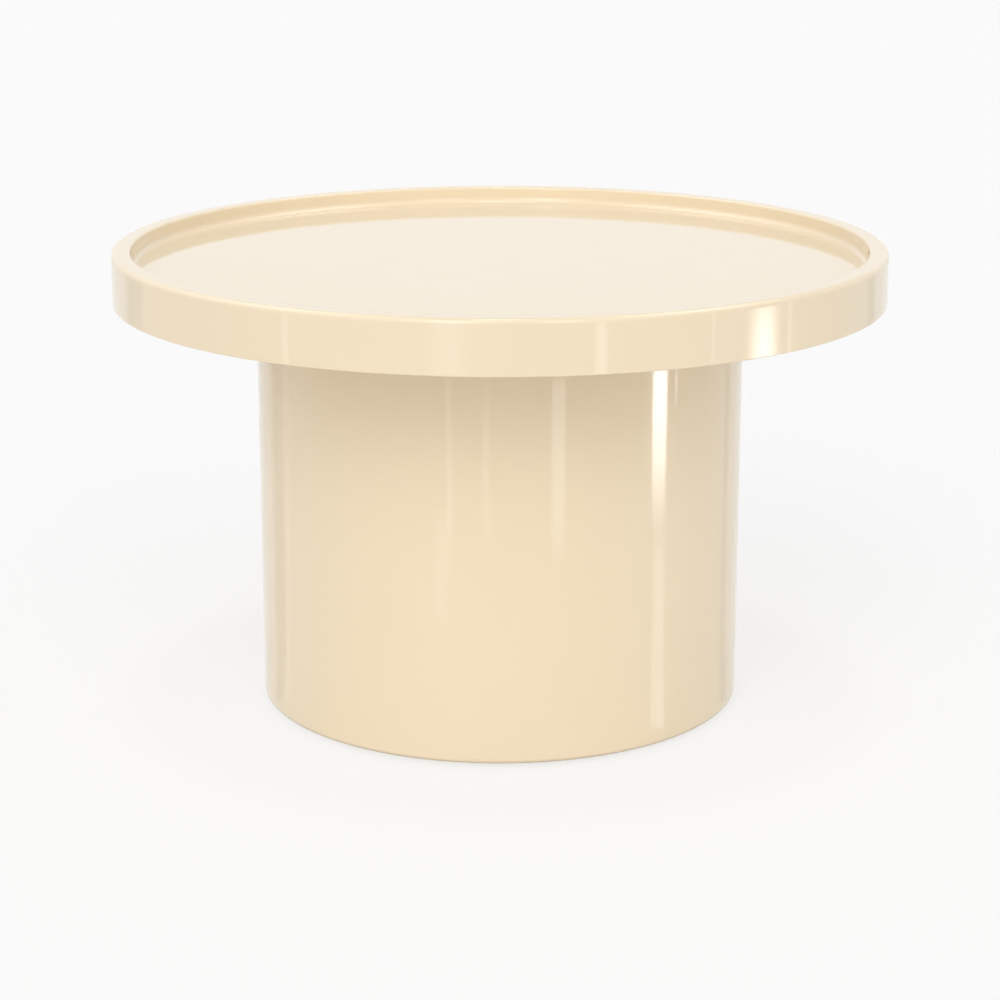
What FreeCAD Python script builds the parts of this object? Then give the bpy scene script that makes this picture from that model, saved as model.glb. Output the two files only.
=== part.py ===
import FreeCAD, Part
import os
import Sketcher

# Round side table: a lacquered tray top, bolted to a hollow drum that stands on four levelling feet.
# Millimetres, +Z up, origin on the floor under the middle of the drum.

# Driving sizes. Lengths are in millimetres, names ending in _angle are in degrees.
SIZES = {
    "table_height": 363,
    "tray_diameter": 600,
    "rim_height": 40,
    "rim_wall": 15,
    "rim_edge_radius": 4,
    "rim_bore_edge_radius": 2,
    "rim_foot_edge_radius": 0.8,
    "rabbet_depth": 7,
    "tray_depth": 13.5,
    "panel_thickness": 18,
    "cove_radius": 5,
    "lip_land": 1,
    "drum_diameter": 380,
    "drum_wall": 12,
    "drum_edge_radius": 4,
    "glue_gap": 0.2,
    "mounting_disc_thickness": 12,
    "mounting_disc_gap": 0.6,
    "top_former_thickness": 18,
    "top_former_bore": 150,
    "middle_former_thickness": 12,
    "bottom_former_thickness": 18,
    "bottom_former_recess": 12,
    "former_width": 54,
    "upright_count": 6,
    "upright_width": 40,
    "upright_depth": 22,
    "screw_diameter": 4,
    "screw_head_diameter": 8,
    "screw_tip_length": 4,
    "screw_gap": 0.1,
    "upright_bite": 25,
    "panel_bite": 13,
    "panel_screw_inset": 38,
    "panel_screw_count": 6,
    "inner_screw_circle": 90,
    "inner_screw_count": 4,
    "bolt_count": 4,
    "bolt_angle": 45,
    "bolt_diameter": 6,
    "bolt_inset": 25,
    "bolt_tip_gap": 1.6,
    "bolt_head_diameter": 10,
    "bolt_head_height": 6,
    "bolt_key_flats": 5,
    "bolt_key_depth": 3,
    "bolt_hole_gap": 0.5,
    "washer_diameter": 18,
    "washer_thickness": 1.6,
    "washer_gap": 0.2,
    "insert_diameter": 10,
    "insert_short": 1,
    "thread_gap": 0.1,
    "foot_count": 4,
    "foot_angle": 45,
    "foot_inset": 27,
    "foot_insert_flange": 22,
    "foot_insert_flange_thickness": 1.5,
    "foot_insert_barrel": 11,
    "foot_insert_length": 13.5,
    "pad_diameter": 30,
    "pad_height": 9,
    "pad_floor": 2.5,
    "pad_edge_radius": 1.2,
    "pivot_diameter": 7,
    "pivot_end_gap": 0.1,
    "bead_lift": 3,
    "bead_height": 2,
    "bead_flat": 0.5,
    "bead_proud": 0.5,
    "running_gap": 0.05,
    "stem_diameter": 7.9,
    "stem_length": 28,
    "stem_chamfer": 1,
    "hexagon_flats": 13,
    "hexagon_height": 4,
    "hexagon_gap": 0.25,
}

doc = FreeCAD.newDocument("round_side_table")
sheet = doc.addObject("Spreadsheet::Sheet", "Sizes")
for row, (alias, number) in enumerate(SIZES.items(), start=1):
    sheet.set(f"A{row}", alias)
    sheet.set(f"B{row}", str(number))
    sheet.setAlias(f"B{row}", alias)
doc.recompute()

# Radii that follow from the driving sizes, as formulas on the sheet.
tray_radius = "(Sizes.tray_diameter / 2)"
rim_bore = f"({tray_radius} - Sizes.rim_wall)"
rabbet_radius = f"({rim_bore} + Sizes.rabbet_depth)"
panel_radius = f"({rabbet_radius} - Sizes.glue_gap)"
drum_radius = "(Sizes.drum_diameter / 2)"
drum_bore = f"({drum_radius} - Sizes.drum_wall)"
former_radius = f"({drum_bore} - Sizes.glue_gap)"
former_bore = f"({drum_bore} - Sizes.former_width)"
top_bore = "(Sizes.top_former_bore / 2)"
disc_radius = f"({drum_bore} - Sizes.mounting_disc_gap)"
upright_half = "(Sizes.upright_width / 2)"
upright_outer = f"sqrt({former_radius}^2 - {upright_half}^2)"
upright_inner = f"({upright_outer} - Sizes.upright_depth)"
upright_middle = f"({upright_outer} - Sizes.upright_depth / 2)"
panel_screw_circle = f"({drum_bore} - Sizes.panel_screw_inset)"
inner_screw_circle = "(Sizes.inner_screw_circle / 2)"
bolt_circle = f"({top_bore} + Sizes.bolt_inset)"
bolt_radius = "(Sizes.bolt_diameter / 2)"
insert_radius = "(Sizes.insert_diameter / 2)"
foot_circle = f"({drum_bore} - Sizes.foot_inset)"
foot_barrel = "(Sizes.foot_insert_barrel / 2)"
stem_radius = "(Sizes.stem_diameter / 2)"
pivot_radius = "(Sizes.pivot_diameter / 2)"

# Heights above the floor, from the feet up and from the rim down.
hexagon_bottom = "(Sizes.pad_height + Sizes.hexagon_gap)"
hexagon_top = f"({hexagon_bottom} + Sizes.hexagon_height)"
foot_insert_bottom = f"({hexagon_top} + Sizes.hexagon_gap)"
bottom_former_bottom = f"({foot_insert_bottom} + Sizes.foot_insert_flange_thickness)"
bottom_former_top = f"({bottom_former_bottom} + Sizes.bottom_former_thickness)"
drum_bottom = f"({bottom_former_bottom} - Sizes.bottom_former_recess)"
rim_top = "Sizes.table_height"
rim_bottom = f"({rim_top} - Sizes.rim_height)"
tray_floor = f"({rim_top} - Sizes.tray_depth)"
lip_top = f"({tray_floor} + Sizes.cove_radius + Sizes.lip_land)"
panel_bottom = f"({tray_floor} - Sizes.panel_thickness)"
disc_bottom = f"({panel_bottom} - Sizes.mounting_disc_thickness)"
top_former_bottom = f"({disc_bottom} - Sizes.top_former_thickness)"
middle_former_bottom = f"(({bottom_former_top} + {top_former_bottom} - Sizes.middle_former_thickness) / 2)"
middle_former_top = f"({middle_former_bottom} + Sizes.middle_former_thickness)"
bolt_head_top = f"({top_former_bottom} - Sizes.washer_thickness)"
bolt_head_bottom = f"({bolt_head_top} - Sizes.bolt_head_height)"
bolt_tip = f"({panel_bottom} - Sizes.bolt_tip_gap)"
pivot_bottom = "(Sizes.pad_floor + Sizes.pivot_end_gap)"
stem_top = f"({hexagon_top} + Sizes.stem_length)"

# How a sketch numbers the points of a line or circle, and its own level and upright axes.
START, END, CENTRE = range(1, 4)
LEVEL_AXIS, UPRIGHT_AXIS = range(-1, -3, -1)
ORIGIN_POINT = (LEVEL_AXIS, START)
bodies = []


def size(formula):
    return float(sheet.evalExpression(formula))


def new_body(node):
    body = doc.addObject("PartDesign::Body", node)
    body.Label = node
    bodies.append(body)
    return body


def origin_feature(body, role):
    return next(feature for feature in body.Origin.OriginFeatures if feature.Role == role)


def new_sketch(body, name, plane, height=None):
    sketch = body.newObject("Sketcher::SketchObject", name)
    sketch.AttachmentSupport = [(origin_feature(body, plane), "")]
    sketch.MapMode = "FlatFace"
    if height is not None:
        sketch.setExpression("AttachmentOffset.Base.z", height)
    return sketch


def tie(sketch, kind, references, formula):
    number = sketch.addConstraint(Sketcher.Constraint(kind, *references, size(formula)))
    sketch.setExpression(f"Constraints[{number}]", formula)


def pin_point(sketch, piece, end, across, up):
    # Ties one point of a sketch to its two distances from the sketch's origin.
    for kind, axis, formula in (("DistanceX", UPRIGHT_AXIS, across), ("DistanceY", LEVEL_AXIS, up)):
        if formula == "0":
            sketch.addConstraint(Sketcher.Constraint("PointOnObject", piece, end, axis))
        elif size(formula) < 0:
            tie(sketch, kind, (piece, end, *ORIGIN_POINT), f"-{formula}")
        else:
            tie(sketch, kind, (*ORIGIN_POINT, piece, end), formula)


def draw_outline(sketch, corners):
    points = [FreeCAD.Vector(size(across), size(up), 0) for across, up in corners]
    count = len(points)
    for number in range(count):
        sketch.addGeometry(Part.LineSegment(points[number], points[(number + 1) % count]), False)
    for number in range(count):
        following = (number + 1) % count
        sketch.addConstraint(Sketcher.Constraint("Coincident", number, END, following, START))
        pin_point(sketch, number, START, *corners[number])


def draw_circle(sketch, radius, across="0", up="0", guide=False):
    centre = FreeCAD.Vector(size(across), size(up), 0)
    circle = sketch.addGeometry(Part.Circle(centre, FreeCAD.Vector(0, 0, 1), size(radius)), guide)
    pin_point(sketch, circle, CENTRE, across, up)
    tie(sketch, "Radius", (circle,), radius)
    return circle


def draw_hexagon(sketch, flats, across="0"):
    # Six equal sides inside a guide circle, with one corner level with the middle.
    guide = draw_circle(sketch, f"({flats} / sqrt(3))", across, guide=True)
    middle = FreeCAD.Vector(size(across), 0, 0)
    reach = FreeCAD.Vector(size(f"{flats} / sqrt(3)"), 0, 0)
    turns = [FreeCAD.Rotation(FreeCAD.Vector(0, 0, 1), 60 * number) for number in range(6)]
    corners = [middle + turn.multVec(reach) for turn in turns]
    sides = [
        sketch.addGeometry(Part.LineSegment(corners[number], corners[(number + 1) % 6]), False)
        for number in range(6)
    ]
    for number, side in enumerate(sides):
        following = sides[(number + 1) % 6]
        sketch.addConstraint(Sketcher.Constraint("Coincident", side, END, following, START))
        sketch.addConstraint(Sketcher.Constraint("PointOnObject", side, START, guide))
    for side in sides[1:]:
        sketch.addConstraint(Sketcher.Constraint("Equal", sides[0], side))
    sketch.addConstraint(Sketcher.Constraint("Horizontal", sides[0], START, guide, CENTRE))


def settle(body, feature, cuts=False, before=0.0):
    # Recomputes the body and makes sure that a cut really took something away.
    body.Tip = feature
    doc.recompute()
    if cuts and not body.Shape.Volume < before:
        raise RuntimeError(f"{feature.Name} cuts nothing from {body.Label}")
    return feature


def turn(body, name, corners, centre="0", cuts=False):
    # Spins an outline, drawn across X and up Z, about an upright line at the given distance along X.
    before = body.Shape.Volume if cuts else 0.0
    sketch = new_sketch(body, f"{name}_outline", "XZ_Plane")
    draw_outline(sketch, corners)
    axis = "V_Axis"
    if centre != "0":
        line_top = f"({rim_top} + 1)"
        low = FreeCAD.Vector(size(centre), 0, 0)
        high = FreeCAD.Vector(size(centre), size(line_top), 0)
        line = sketch.addGeometry(Part.LineSegment(low, high), True)
        pin_point(sketch, line, START, centre, "0")
        pin_point(sketch, line, END, centre, line_top)
        axis = "Axis0"
    feature = body.newObject("PartDesign::Groove" if cuts else "PartDesign::Revolution", name)
    feature.Profile = sketch
    feature.ReferenceAxis = (sketch, [axis])
    feature.Angle = 360
    return settle(body, feature, cuts, before)


def pad(body, name, sketch, length):
    feature = body.newObject("PartDesign::Pad", name)
    feature.Profile = sketch
    feature.setExpression("Length", length)
    return settle(body, feature)


def pocket(body, name, sketch, depth, upwards=False):
    before = body.Shape.Volume
    feature = body.newObject("PartDesign::Pocket", name)
    feature.Profile = sketch
    feature.setExpression("Length", depth)
    feature.Reversed = upwards
    return settle(body, feature, True, before)


def repeat_round(body, name, features, count):
    pattern = body.newObject("PartDesign::PolarPattern", name)
    pattern.Originals = features
    pattern.Axis = (origin_feature(body, "Z_Axis"), [""])
    pattern.Angle = 360
    pattern.setExpression("Occurrences", count)
    return settle(body, pattern)


def round_over(body, name, rings, radius):
    # Rounds the circular edges found at the given radii and heights.
    base = body.Tip
    wanted = [(size(ring_radius), size(height)) for ring_radius, height in rings]
    edges = []
    for number, edge in enumerate(base.Shape.Edges, start=1):
        if not isinstance(edge.Curve, Part.Circle):
            continue
        place = (edge.Curve.Radius, edge.Curve.Center.z)
        if any(abs(place[0] - ring[0]) < 1e-4 and abs(place[1] - ring[1]) < 1e-4 for ring in wanted):
            edges.append(f"Edge{number}")
    if len(edges) != len(rings):
        raise RuntimeError(f"{name} finds {len(edges)} of {len(rings)} edges")
    fillet = body.newObject("PartDesign::Fillet", name)
    fillet.Base = (base, edges)
    fillet.setExpression("Radius", radius)
    return settle(body, fillet)


def turn_body(body, angle):
    # Turns a whole body about the table's upright axis.
    body.Placement = FreeCAD.Placement(FreeCAD.Vector(), FreeCAD.Rotation(FreeCAD.Vector(0, 0, 1), 1))
    body.setExpression("Placement.Rotation.Angle", angle)
    doc.recompute()


def ring(body, name, inner, outer, bottom, thickness):
    sketch = new_sketch(body, f"{name}_outline", "XY_Plane", bottom)
    draw_circle(sketch, outer)
    if inner is not None:
        draw_circle(sketch, inner)
    return pad(body, name, sketch, thickness)


def bore_round(body, name, hole_radius, circle, angle, count, top, depth):
    # Drills a ring of straight holes down from the given height.
    sketch = new_sketch(body, f"{name}_outline", "XY_Plane", top)
    across, up = (f"({circle} * {share}({angle} * 1 deg))" for share in ("cos", "sin"))
    draw_circle(sketch, hole_radius, across, up)
    first = pocket(body, f"{name}_first", sketch, depth)
    return repeat_round(body, name, [first], count)


def screw_outline(centre, head, tip, direction, gap="0"):
    # Half of a countersunk screw whose head lies flush at one height, pointing up or down from there.
    ahead, back = direction
    head_radius = f"({centre} + Sizes.screw_head_diameter / 2 + {gap})"
    shank_radius = f"({centre} + Sizes.screw_diameter / 2 + {gap})"
    sink = f"({head} {ahead} (Sizes.screw_head_diameter - Sizes.screw_diameter) / 2)"
    shoulder = f"({tip} {back} Sizes.screw_tip_length)"
    end = f"({tip} {ahead} {gap})"
    return [
        (centre, head), (head_radius, head), (shank_radius, sink), (shank_radius, shoulder), (centre, end),
    ]


# The screws' places: centre line, head, tip, and the signs that lead from the head to the tip and back.
UP, DOWN = "+-", "-+"
upright_foot_screw = (
    upright_middle, bottom_former_bottom, f"({bottom_former_top} + Sizes.upright_bite)", UP,
)
upright_head_screw = (upright_middle, disc_bottom, f"({top_former_bottom} - Sizes.upright_bite)", DOWN)
panel_outer_screw = (panel_screw_circle, disc_bottom, f"({panel_bottom} + Sizes.panel_bite)", UP)
panel_inner_screw = (inner_screw_circle, disc_bottom, f"({panel_bottom} + Sizes.panel_bite)", UP)


def screw_holes(body, name, place, count):
    first = turn(body, f"{name}_first", screw_outline(*place, gap="Sizes.screw_gap"), place[0], cuts=True)
    return repeat_round(body, name, [first], count)


def screws(body, name, place, count):
    first = turn(body, f"{name}_first", screw_outline(*place), place[0])
    return repeat_round(body, name, [first], count)


def make_rim_hoop():
    body = new_body("rim_hoop")
    turn(body, "hoop", [
        (rabbet_radius, rim_bottom), (tray_radius, rim_bottom), (tray_radius, rim_top),
        (rim_bore, rim_top), (rim_bore, lip_top), (rabbet_radius, lip_top),
    ])
    round_over(body, "hoop_edge", [(tray_radius, rim_top)], "Sizes.rim_edge_radius")
    round_over(body, "hoop_bore_edge", [(rim_bore, rim_top)], "Sizes.rim_bore_edge_radius")
    round_over(body, "hoop_foot_edge", [(tray_radius, rim_bottom)], "Sizes.rim_foot_edge_radius")


def make_tray_panel():
    body = new_body("tray_panel")
    turn(body, "panel", [
        ("0", panel_bottom), (panel_radius, panel_bottom), (panel_radius, lip_top),
        (rim_bore, lip_top), (rim_bore, tray_floor), ("0", tray_floor),
    ])
    round_over(body, "cove", [(rim_bore, tray_floor)], "Sizes.cove_radius")
    screw_holes(body, "panel_outer_pilot", panel_outer_screw, "Sizes.panel_screw_count")
    screw_holes(body, "panel_inner_pilot", panel_inner_screw, "Sizes.inner_screw_count")


def make_mounting_disc():
    body = new_body("mounting_disc")
    ring(body, "disc", None, disc_radius, disc_bottom, "Sizes.mounting_disc_thickness")
    screw_holes(body, "disc_outer_hole", panel_outer_screw, "Sizes.panel_screw_count")
    screw_holes(body, "disc_inner_hole", panel_inner_screw, "Sizes.inner_screw_count")
    bore_round(
        body, "insert_hole", f"({insert_radius} + Sizes.glue_gap)", bolt_circle, "Sizes.bolt_angle",
        "Sizes.bolt_count", panel_bottom, "Sizes.mounting_disc_thickness",
    )


def make_panel_screws():
    body = new_body("panel_screws")
    body.AllowCompound = True
    screws(body, "outer_panel_screw", panel_outer_screw, "Sizes.panel_screw_count")
    screws(body, "inner_panel_screw", panel_inner_screw, "Sizes.inner_screw_count")


def make_bolt_inserts():
    body = new_body("bolt_inserts")
    body.AllowCompound = True
    inner = f"({bolt_circle} + {bolt_radius} + Sizes.thread_gap)"
    outer = f"({bolt_circle} + {insert_radius})"
    top = f"({panel_bottom} - Sizes.insert_short)"
    first = turn(body, "insert_first", [
        (inner, disc_bottom), (outer, disc_bottom), (outer, top), (inner, top),
    ], bolt_circle)
    repeat_round(body, "insert", [first], "Sizes.bolt_count")
    turn_body(body, "Sizes.bolt_angle")


def make_drum_shell():
    body = new_body("drum_shell")
    turn(body, "shell", [
        (drum_bore, drum_bottom), (drum_radius, drum_bottom),
        (drum_radius, panel_bottom), (drum_bore, panel_bottom),
    ])
    round_over(body, "shell_edge", [(drum_radius, drum_bottom)], "Sizes.drum_edge_radius")


def make_top_former():
    body = new_body("top_former")
    ring(body, "top_ring", top_bore, former_radius, top_former_bottom, "Sizes.top_former_thickness")
    screw_holes(body, "top_upright_hole", upright_head_screw, "Sizes.upright_count")
    bore_round(
        body, "bolt_hole", f"({bolt_radius} + Sizes.bolt_hole_gap)", bolt_circle, "Sizes.bolt_angle",
        "Sizes.bolt_count", disc_bottom, "Sizes.top_former_thickness",
    )


def make_middle_former():
    body = new_body("middle_former")
    thickness = "Sizes.middle_former_thickness"
    ring(body, "middle_ring", former_bore, former_radius, middle_former_bottom, thickness)
    notch_inner = f"({upright_inner} - Sizes.glue_gap)"
    notch_half = f"({upright_half} + Sizes.glue_gap)"
    sketch = new_sketch(body, "notch_outline", "XY_Plane", middle_former_top)
    draw_outline(sketch, [
        (notch_inner, f"-{notch_half}"), (drum_bore, f"-{notch_half}"),
        (drum_bore, notch_half), (notch_inner, notch_half),
    ])
    first = pocket(body, "notch_first", sketch, thickness)
    repeat_round(body, "notch", [first], "Sizes.upright_count")


def make_bottom_former():
    body = new_body("bottom_former")
    thickness = "Sizes.bottom_former_thickness"
    ring(body, "bottom_ring", former_bore, former_radius, bottom_former_bottom, thickness)
    screw_holes(body, "bottom_upright_hole", upright_foot_screw, "Sizes.upright_count")
    bore_round(
        body, "foot_hole", f"({foot_barrel} + Sizes.glue_gap)", foot_circle, "Sizes.foot_angle",
        "Sizes.foot_count", bottom_former_top, thickness,
    )


def make_upright(number):
    body = new_body(f"upright_{number}")
    sketch = new_sketch(body, f"batten_{number}_outline", "XY_Plane", bottom_former_top)
    draw_outline(sketch, [
        (upright_inner, f"-{upright_half}"), (upright_outer, f"-{upright_half}"),
        (upright_outer, upright_half), (upright_inner, upright_half),
    ])
    pad(body, f"batten_{number}", sketch, f"{top_former_bottom} - {bottom_former_top}")
    for name, place in (("foot", upright_foot_screw), ("head", upright_head_screw)):
        outline = screw_outline(*place, gap="Sizes.screw_gap")
        turn(body, f"batten_{number}_{name}_pilot", outline, place[0], cuts=True)
    turn_body(body, f"{number - 1} * 360 / Sizes.upright_count")


def make_upright_screws():
    body = new_body("upright_screws")
    body.AllowCompound = True
    screws(body, "upright_foot_screw", upright_foot_screw, "Sizes.upright_count")
    screws(body, "upright_head_screw", upright_head_screw, "Sizes.upright_count")


def make_connecting_bolts():
    body = new_body("connecting_bolts")
    body.AllowCompound = True
    head = f"({bolt_circle} + Sizes.bolt_head_diameter / 2)"
    shank = f"({bolt_circle} + {bolt_radius})"
    bolt = turn(body, "bolt_first", [
        (bolt_circle, bolt_head_bottom), (head, bolt_head_bottom), (head, bolt_head_top),
        (shank, bolt_head_top), (shank, bolt_tip), (bolt_circle, bolt_tip),
    ], bolt_circle)
    sketch = new_sketch(body, "key_outline", "XY_Plane", bolt_head_bottom)
    draw_hexagon(sketch, "Sizes.bolt_key_flats", bolt_circle)
    key = pocket(body, "key_socket", sketch, "Sizes.bolt_key_depth", upwards=True)
    repeat_round(body, "bolt", [bolt, key], "Sizes.bolt_count")
    turn_body(body, "Sizes.bolt_angle")


def make_bolt_washers():
    body = new_body("bolt_washers")
    body.AllowCompound = True
    inner = f"({bolt_circle} + {bolt_radius} + Sizes.washer_gap)"
    outer = f"({bolt_circle} + Sizes.washer_diameter / 2)"
    first = turn(body, "washer_first", [
        (inner, bolt_head_top), (outer, bolt_head_top),
        (outer, top_former_bottom), (inner, top_former_bottom),
    ], bolt_circle)
    repeat_round(body, "washer", [first], "Sizes.bolt_count")
    turn_body(body, "Sizes.bolt_angle")


def make_foot_inserts():
    body = new_body("foot_inserts")
    body.AllowCompound = True
    inner = f"({foot_circle} + {stem_radius} + Sizes.running_gap)"
    barrel = f"({foot_circle} + {foot_barrel})"
    flange = f"({foot_circle} + Sizes.foot_insert_flange / 2)"
    top = f"({foot_insert_bottom} + Sizes.foot_insert_length)"
    first = turn(body, "foot_insert_first", [
        (inner, foot_insert_bottom), (flange, foot_insert_bottom), (flange, bottom_former_bottom),
        (barrel, bottom_former_bottom), (barrel, top), (inner, top),
    ], foot_circle)
    repeat_round(body, "foot_insert", [first], "Sizes.foot_count")
    turn_body(body, "Sizes.foot_angle")


def pivot_outline(gap="0"):
    # The snap bead on the stem's pivot, and its groove in the pad when a gap is given.
    neck = f"({pivot_radius} + {gap})"
    bead = f"({pivot_radius} + Sizes.bead_proud + {gap})"
    middle = "(Sizes.pad_floor + Sizes.bead_lift)"
    return [
        (neck, f"({middle} - Sizes.bead_height / 2)"), (bead, f"({middle} - Sizes.bead_flat / 2)"),
        (bead, f"({middle} + Sizes.bead_flat / 2)"), (neck, f"({middle} + Sizes.bead_height / 2)"),
    ]


def place_foot(body, number):
    angle = f"(Sizes.foot_angle + {number - 1} * 360 / Sizes.foot_count)"
    body.setExpression("Placement.Base.x", f"{foot_circle} * cos({angle} * 1 deg)")
    body.setExpression("Placement.Base.y", f"{foot_circle} * sin({angle} * 1 deg)")
    doc.recompute()


def make_foot_pad(number):
    body = new_body(f"foot_{number}_pad")
    rim = "(Sizes.pad_diameter / 2)"
    neck = f"({pivot_radius} + Sizes.running_gap)"
    turn(body, f"pad_{number}", [
        ("0", "0"), (rim, "0"), (rim, "Sizes.pad_height"), (neck, "Sizes.pad_height"),
        *reversed(pivot_outline("Sizes.running_gap")),
        (neck, "Sizes.pad_floor"), ("0", "Sizes.pad_floor"),
    ])
    edges = [(rim, "0"), (rim, "Sizes.pad_height")]
    round_over(body, f"pad_{number}_edges", edges, "Sizes.pad_edge_radius")
    place_foot(body, number)


def make_foot_stem(number):
    body = new_body(f"foot_{number}_stem")
    tip = f"({stem_radius} - Sizes.stem_chamfer)"
    turn(body, f"stem_{number}", [
        ("0", pivot_bottom), (pivot_radius, pivot_bottom), *pivot_outline(),
        (pivot_radius, hexagon_bottom), (stem_radius, hexagon_bottom),
        (stem_radius, f"({stem_top} - Sizes.stem_chamfer)"), (tip, stem_top), ("0", stem_top),
    ])
    sketch = new_sketch(body, f"hexagon_{number}_outline", "XY_Plane", hexagon_bottom)
    draw_hexagon(sketch, "Sizes.hexagon_flats")
    pad(body, f"hexagon_{number}", sketch, "Sizes.hexagon_height")
    place_foot(body, number)


make_rim_hoop()
make_tray_panel()
make_mounting_disc()
make_panel_screws()
make_bolt_inserts()
make_drum_shell()
make_top_former()
make_middle_former()
make_bottom_former()
for upright in range(1, int(size("Sizes.upright_count")) + 1):
    make_upright(upright)
make_upright_screws()
make_connecting_bolts()
make_bolt_washers()
make_foot_inserts()
for foot in range(1, int(size("Sizes.foot_count")) + 1):
    make_foot_pad(foot)
    make_foot_stem(foot)

doc.recompute()
failed = [item.Name for item in doc.Objects if {"Invalid", "Error"} & set(item.State)]
failed += [body.Label for body in bodies if body.Shape.isNull() or not body.Shape.isValid()]
if failed:
    raise RuntimeError(f"not built: {failed}")

os.makedirs("parts", exist_ok=True)
for body in bodies:
    body.Shape.exportStep(f"parts/{body.Label}.step")
    print(f"{body.Label}: {len(body.Shape.Solids)} solids, {body.Shape.Volume / 1000:.1f} cm3")
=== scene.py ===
import bmesh
import bpy
import math
from mathutils import Matrix, Vector


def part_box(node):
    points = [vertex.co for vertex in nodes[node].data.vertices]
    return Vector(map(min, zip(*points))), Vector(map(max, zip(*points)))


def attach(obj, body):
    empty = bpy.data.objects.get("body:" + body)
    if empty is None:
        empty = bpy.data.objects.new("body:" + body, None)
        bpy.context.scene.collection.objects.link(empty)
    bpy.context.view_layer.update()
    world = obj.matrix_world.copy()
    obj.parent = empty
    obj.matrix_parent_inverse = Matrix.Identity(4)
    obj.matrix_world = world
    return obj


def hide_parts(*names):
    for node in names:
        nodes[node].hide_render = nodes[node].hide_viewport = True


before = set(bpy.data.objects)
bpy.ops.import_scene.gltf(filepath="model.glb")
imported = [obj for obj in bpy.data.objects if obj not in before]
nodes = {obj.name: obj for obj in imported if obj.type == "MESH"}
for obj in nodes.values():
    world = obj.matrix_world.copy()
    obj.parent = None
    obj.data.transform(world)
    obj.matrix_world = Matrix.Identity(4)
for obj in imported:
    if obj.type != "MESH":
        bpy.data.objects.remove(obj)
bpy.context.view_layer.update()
scene = bpy.context.scene
mm = 0.001
battenNumbers = range(1, 7)
footNumbers = range(1, 5)
print("frame loaded,", len(nodes), "nodes")


# node tree helpers, shared by the shaders and the geometry trees

def addNode(tree, kind, **settings):
    node = tree.nodes.new(kind)
    for key, value in settings.items():
        setattr(node, key, value)
    return node


def plug(tree, source, target):
    tree.links.new(source, target)


def live(sockets, name):
    # nodes that change type keep unused sockets of the same name, switched off
    return next(socket for socket in sockets if socket.name == name and socket.enabled)


def mathNode(tree, operation, first, second=None):
    node = addNode(tree, "ShaderNodeMath", operation=operation)
    for number, value in enumerate((first, second)):
        if value is None:
            continue
        if isinstance(value, (int, float)):
            node.inputs[number].default_value = value
        else:
            plug(tree, value, node.inputs[number])
    return node.outputs[0]


def splitPlace(tree, place):
    # the X, Y and Z of a place or a direction
    node = addNode(tree, "ShaderNodeSeparateXYZ")
    plug(tree, place, node.inputs[0])
    return node.outputs


# shaders

noiseRange = (0.3, 0.7)  # where most values of a fine pattern lie
grainRange = (0.2, 0.8)  # and those of wood grain
ridgeStrength = 0.6      # of the grain in raw wood


def startFinish(name):
    finish = bpy.data.materials.new(name)
    finish.use_nodes = True
    tree = finish.node_tree
    place = addNode(tree, "ShaderNodeTexCoord").outputs["Object"]
    return finish, tree, tree.nodes["Principled BSDF"], place


def noise(tree, place, scale, detail=2.0, stretch=None, distortion=0.0):
    if stretch is not None:
        mapping = addNode(tree, "ShaderNodeMapping")
        mapping.inputs["Scale"].default_value = stretch
        plug(tree, place, mapping.inputs["Vector"])
        place = mapping.outputs["Vector"]
    node = addNode(tree, "ShaderNodeTexNoise")
    node.inputs["Scale"].default_value = scale
    node.inputs["Detail"].default_value = detail
    node.inputs["Distortion"].default_value = distortion
    plug(tree, place, node.inputs["Vector"])
    return node.outputs["Fac"]


def blended(tree, first, second, share):
    # a share of the first pattern and the rest of the second
    most = mathNode(tree, "MULTIPLY", first, share)
    rest = mathNode(tree, "MULTIPLY", second, 1 - share)
    return mathNode(tree, "ADD", most, rest)


def ramp(tree, factor, stops):
    node = addNode(tree, "ShaderNodeValToRGB")
    band = node.color_ramp
    while len(band.elements) < len(stops):
        band.elements.new(0.5)
    for element, (position, colour) in zip(band.elements, stops):
        element.position = position
        element.color = (*colour, 1.0)
    plug(tree, factor, node.inputs["Fac"])
    return node.outputs["Color"]


def spread(tree, value, low, high, newLow, newHigh, smooth=False):
    node = addNode(tree, "ShaderNodeMapRange", interpolation_type="SMOOTHSTEP" if smooth else "LINEAR")
    for name, number in (("From Min", low), ("From Max", high), ("To Min", newLow), ("To Max", newHigh)):
        node.inputs[name].default_value = number
    plug(tree, value, node.inputs["Value"])
    return node.outputs["Result"]


def mixColour(tree, factor, first, second):
    node = addNode(tree, "ShaderNodeMix", data_type="RGBA")
    plug(tree, factor, node.inputs["Factor"])
    for name, value in (("A", first), ("B", second)):
        socket = live(node.inputs, name)
        if isinstance(value, tuple):
            socket.default_value = (*value, 1.0)
        else:
            plug(tree, value, socket)
    return live(node.outputs, "Result")


def bump(tree, height, distance, strength=1.0, under=None):
    node = addNode(tree, "ShaderNodeBump")
    node.inputs["Strength"].default_value = strength
    node.inputs["Distance"].default_value = distance
    plug(tree, height, node.inputs["Height"])
    if under is not None:
        plug(tree, under, node.inputs["Normal"])
    return node.outputs["Normal"]


lacquer = {
    "cream": (0.868, 0.729, 0.520),
    "deepCream": (0.850, 0.708, 0.498),
    "toneScale": 9.0,           # slow drift between the two creams
    "sheenScale": 30.0,
    "roughness": (0.42, 0.52),  # of the colour below the clear coat
    "gloss": 0.1,
    "coatRoughness": 0.045,
    "coatIor": 1.5,
    "peelScale": 620.0,         # orange peel, about 1.6 mm from crest to crest
    "peelHeight": 0.012 * mm,
    "flowScale": 45.0,          # slow waves left by the spray passes
    "flowHeight": 0.020 * mm,
}


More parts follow.
